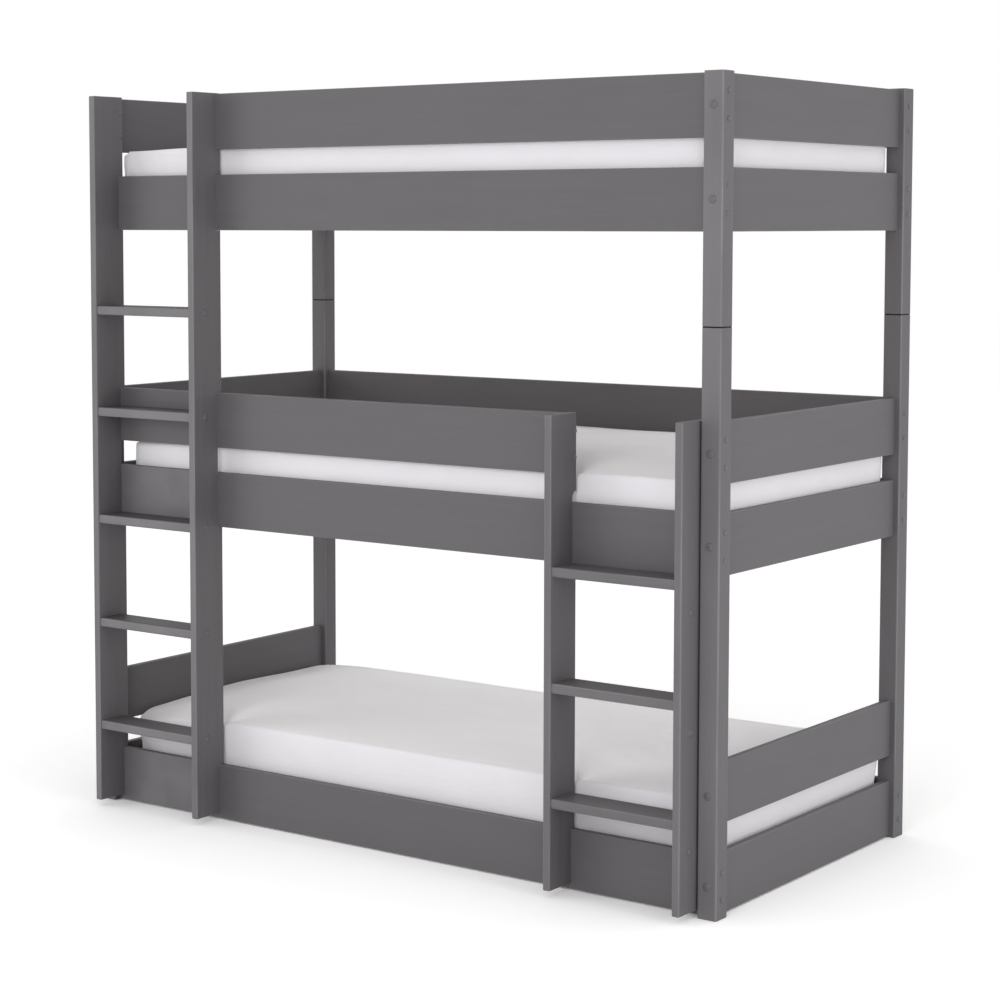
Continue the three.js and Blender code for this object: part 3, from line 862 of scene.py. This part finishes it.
class Foam:
    """The cut block of foam in one cover: upright corners of four radii, rolled rims."""

    def __init__(self, low, high, settled):
        self.base = low.z
        self.middle = (low + high) / 2
        self.half = (high - low) / 2
        self.settled = settled

    def corner_at(self, x, y):
        """The radius of the upright corner in this quarter of the block."""
        return self.settled["corners"][(1 if x > 0 else 0) + (2 if y > 0 else 0)]

    def held_inside(self, x, y, depth):
        """The nearest place that lies a depth inside all four sides, seen from above."""
        return Vector((
            min(max(x, depth - self.half.x), self.half.x - depth),
            min(max(y, depth - self.half.y), self.half.y - depth),
        ))

    def outline(self, x, y):
        """The nearest place on or within the block's outline, seen from above."""
        corner = self.corner_at(x, y)
        held = self.held_inside(x, y, corner)
        out = Vector((x, y)) - held
        return held + out.normalized() * corner if out.length > corner else Vector((x, y))

    def laid(self, place):
        """Where a point of the cover lies on the rolled block, and the way out of it there.
        Points are drawn out of a core that is a shell's depth inside the block."""
        x, y = place.x - self.middle.x, place.y - self.middle.y
        corner = self.corner_at(x, y)
        bound = max(corner, SHELL)
        held = self.held_inside(x, y, bound)
        away = Vector((x, y)) - held
        way = away.normalized()
        depth = SHELL
        if corner < SHELL and away.length > 0:
            depth *= rim_reach(Vector((abs(way.x), abs(way.y))), corner / SHELL)
        over = max(away.length - bound + SHELL, 0) / depth
        height = place.z - self.base
        upward = 1 if height > self.settled["rim"] / 2 else -1
        face = self.settled["rim"] if upward > 0 else 0
        raised = min(max(1 - (face - height) * upward / SHELL, 0), 1)
        if over == 0 and raised == 0:
            return place, Vector()
        ray = Vector((over, raised)).normalized()
        rolled = ROLLED_EDGE / SHELL
        put = ray * rim_reach(ray, rolled)
        flat = Vector((x, y))
        if over > 0:
            flat = held + way * (bound - SHELL + put.x * depth)
        if raised > 0:
            height = face - upward * SHELL * (1 - put.y)
        turn = Vector((max(put.x - 1 + rolled, 0), max(put.y - 1 + rolled, 0))).normalized()
        out = Vector((way.x * turn.x, way.y * turn.x, upward * turn.y))
        return Vector((flat.x + self.middle.x, flat.y + self.middle.y, height + self.base)), out

    def settle(self, place):
        """Where a point of the cover lies once the mattress has been slept on."""
        skin, out = self.laid(place)
        stood = max((place - skin).dot(out), 0.0)
        stood = min(stood, SIDE_LIMIT) if abs(out.z) < 0.5 else stood
        x = (place.x - self.middle.x) / self.half.x
        y = (place.y - self.middle.y) / self.half.y
        up = (place.z - self.base) / self.settled["rim"]
        upward = eased((out.z - 0.2) / 0.6)
        sideways = 1 - abs(out.z)
        broad = noise.noise(Vector((place.x * 3.1, place.y * 4.3, self.base * 9)))
        fine = noise.noise(Vector((place.x * 11, place.y * 9, self.base * 5 + place.z * 4)))
        folds = noise.noise(Vector((place.x * 17 + place.z * 6, place.y * 17, place.z * 7)))
        stood += upward * (broad * BROAD_DIPS + fine * SMALL_DIPS)
        stood += sideways * eased(up * 1.4) * (fine * SIDE_RIPPLES + folds * SIDE_FOLDS)
        moved = skin + out * stood
        at_left_end = eased((-x - 0.80) / 0.20)
        towards_back = eased((y + 1) / 2)
        drooping = eased((-x - 0.70) / 0.30) * eased((0.1 - y) / 1.1)
        rolled = bell((1 + y) * self.half.y, FRONT_ROLL_WIDTH) * eased((-x - 0.60) / 0.07)
        lift = self.settled["rise_to_right"] * x
        lift += self.settled["back"] * towards_back
        lift += self.settled["left_end"] * at_left_end
        lift -= self.settled["droop"] * drooping
        lift -= self.settled["roll"] * rolled
        moved.z += lift * eased(up)
        moved.x += self.drawn_in(x)
        tucked = self.settled["tuck"] * eased(1 - up * 1.3) * sideways
        moved.x -= out.x * tucked
        moved.y -= out.y * tucked
        wave = math.sin((place.x + place.y) * 150 + place.z * 60)
        moved -= out * (CORNER_FOLDS * wave * drooping * sideways * eased(1.2 - up))
        return moved - out * (self.pinched(place) * eased((out.z - 0.05) / 0.5))

    def drawn_in(self, x):
        """How far the left end has gone in at this share of the block's half length."""
        return self.settled["left_in"] * eased((-x - 0.70) / 0.20)

    def pinched(self, place):
        """How deep a stile's pinch goes here: a soft dip and one crease that runs back."""
        depth = 0.0
        front = self.middle.y - self.half.y + CREASE_FROM_FRONT
        for x in self.settled["pinches"]:
            spot = Vector((place.x - x, place.y - front))
            run = spot.dot(CREASE_WAY)
            aside = spot.x * CREASE_WAY.y - spot.y * CREASE_WAY.x
            crease = bell(aside, CREASE_WIDTH) * eased(1 - run / CREASE_LENGTH)
            crease *= eased(run / CREASE_START)
            dip = bell(spot.x, PINCH_DIP_LENGTH) * bell(spot.y, PINCH_DIP_WIDTH)
            depth += PINCH_DIP * dip + CREASE_DEPTH * crease
        return depth


def zip_round(foam):
    """The zip's tape: a strip laid round the foot of the cover and closed on itself."""
    strip = bmesh.new()
    bmesh.ops.create_grid(strip, x_segments=ZIP_STEPS, y_segments=4, size=0.5)
    for vertex in strip.verts:
        turn = (vertex.co.x + 0.5) * 2 * math.pi
        across = vertex.co.y
        far_x = math.cos(turn) * foam.half.x * ZIP_SPREAD_X
        far_y = math.sin(turn) * foam.half.y * ZIP_SPREAD_Y
        rim = foam.outline(*foam.held_inside(far_x, far_y, 0.0))
        proud = TAPE_PROUD + (TEETH_PROUD if abs(across) < TEETH_HALF else 0.0)
        rim += rim.normalized() * (proud - foam.settled["tuck"] * ZIP_TUCK)
        vertex.co = (
            rim.x + foam.drawn_in(rim.x / foam.half.x) + foam.middle.x,
            rim.y + foam.middle.y,
            foam.base + ZIP_HEIGHT + across * ZIP_TAPE,
        )
    bmesh.ops.remove_doubles(strip, verts=strip.verts[:], dist=0.00005)
    bmesh.ops.recalc_face_normals(strip, faces=strip.faces[:])
    return strip


cover_cloth = knitted_cover("white_knitted_cover")
for tier in ("bottom", "middle", "top"):
    node = f"mattress_{tier}"
    body = f"mattress_{tier}_body"
    foam = Foam(*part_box(node), SETTLED[tier])
    piece = cover_of(node, f"mattress_cover_{tier}")
    swell(piece, foam.base)
    finer = piece.modifiers.new("finer", "SUBSURF")
    finer.levels = 1
    finer.render_levels = 1
    apply_modifiers(piece)
    for vertex in piece.data.vertices:
        vertex.co = foam.settle(vertex.co)
    piece.data.materials.clear()
    piece.data.materials.append(cover_cloth)
    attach(piece, body)
    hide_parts(node)
    add_piece(f"mattress_zip_{tier}", zip_round(foam), cover_cloth, body)

# The studio
# A white floor without an edge and an even white surround, with one broad soft light in
# front of the bed, one off its right end and a weaker one at the left.

FLOOR_REACH = 30.0
FLOOR_GREY = (0.8, 0.8, 0.8, 1)
FLOOR_SEEN_WHITE = (1.2, 1.2, 1.2, 1)
FLOOR_GLOW = 0.07
WHITE = (1, 1, 1, 1)
SURROUND_LIGHT = 0.78
BED_MIDDLE = (0, 0, 0.95)
LIGHT_SIZE = 3.0


def seen_directly(start):
    """1 for rays from the camera, from glossy surfaces and through glass."""
    rays = ("Is Camera Ray", "Is Glossy Ray", "Is Transmission Ray")
    camera_ray, glossy, through = (start.add("ShaderNodeLightPath", {}, {}, ray) for ray in rays)
    return (camera_ray + glossy + through).limited(0.0, 1.0)


floor_material = bpy.data.materials.new("white_floor")
floor_material.use_nodes = True
floor_material.node_tree.nodes.clear()
floor_finish = Finish(floor_material.node_tree)
direct = seen_directly(floor_finish)
matt = floor_finish.add("ShaderNodeBsdfDiffuse", {}, {"Color": FLOOR_GREY}, "BSDF")
pale = floor_finish.add("ShaderNodeBsdfDiffuse", {}, {"Color": FLOOR_SEEN_WHITE}, "BSDF")
glow = floor_finish.add(
    "ShaderNodeEmission", {}, {"Color": WHITE, "Strength": FLOOR_GLOW}, "Emission"
)
bright = floor_finish.add("ShaderNodeAddShader", {}, {0: pale, 1: glow}, "Shader")
seen = floor_finish.add("ShaderNodeMixShader", {}, {0: direct, 1: matt, 2: bright}, "Shader")
floor_output = floor_material.node_tree.nodes.new("ShaderNodeOutputMaterial")
floor_material.node_tree.links.new(seen.socket, floor_output.inputs["Surface"])

floor_shape = bmesh.new()
bmesh.ops.create_grid(floor_shape, x_segments=1, y_segments=1, size=FLOOR_REACH)
floor_mesh = bpy.data.meshes.new("studio_floor")
floor_shape.to_mesh(floor_mesh)
floor_shape.free()
floor_mesh.materials.append(floor_material)
floor = bpy.data.objects.new("studio_floor", floor_mesh)
scene.collection.objects.link(floor)

world = bpy.data.worlds.new("white_surround")
world.use_nodes = True
world.node_tree.nodes.clear()
surround = Finish(world.node_tree)
seen_white = surround.add(
    "ShaderNodeBackground", {}, {"Color": WHITE, "Strength": 1.0}, "Background"
)
lighting = surround.add(
    "ShaderNodeBackground", {}, {"Color": WHITE, "Strength": SURROUND_LIGHT}, "Background"
)
around = surround.add(
    "ShaderNodeMixShader", {}, {0: seen_directly(surround), 1: lighting, 2: seen_white}, "Shader"
)
world_output = world.node_tree.nodes.new("ShaderNodeOutputWorld")
world.node_tree.links.new(around.socket, world_output.inputs["Surface"])
scene.world = world


def soft_light(name, place, watts):
    """A broad square lamp that looks at the middle of the bed."""
    data = bpy.data.lights.new(name, "AREA")
    data.shape = "SQUARE"
    data.size = LIGHT_SIZE
    data.energy = watts
    lamp = bpy.data.objects.new(name, data)
    lamp.location = place
    lamp.rotation_euler = (Vector(place) - Vector(BED_MIDDLE)).to_track_quat("Z", "Y").to_euler()
    scene.collection.objects.link(lamp)


soft_light("light_at_the_front", (1.6, -5.8, 2.2), 93.0)
soft_light("light_at_the_right", (6.0, -0.6, 1.2), 97.0)
soft_light("light_at_the_left", (-4.5, -4.5, 1.5), 54.0)

scene.view_settings.view_transform = "Standard"
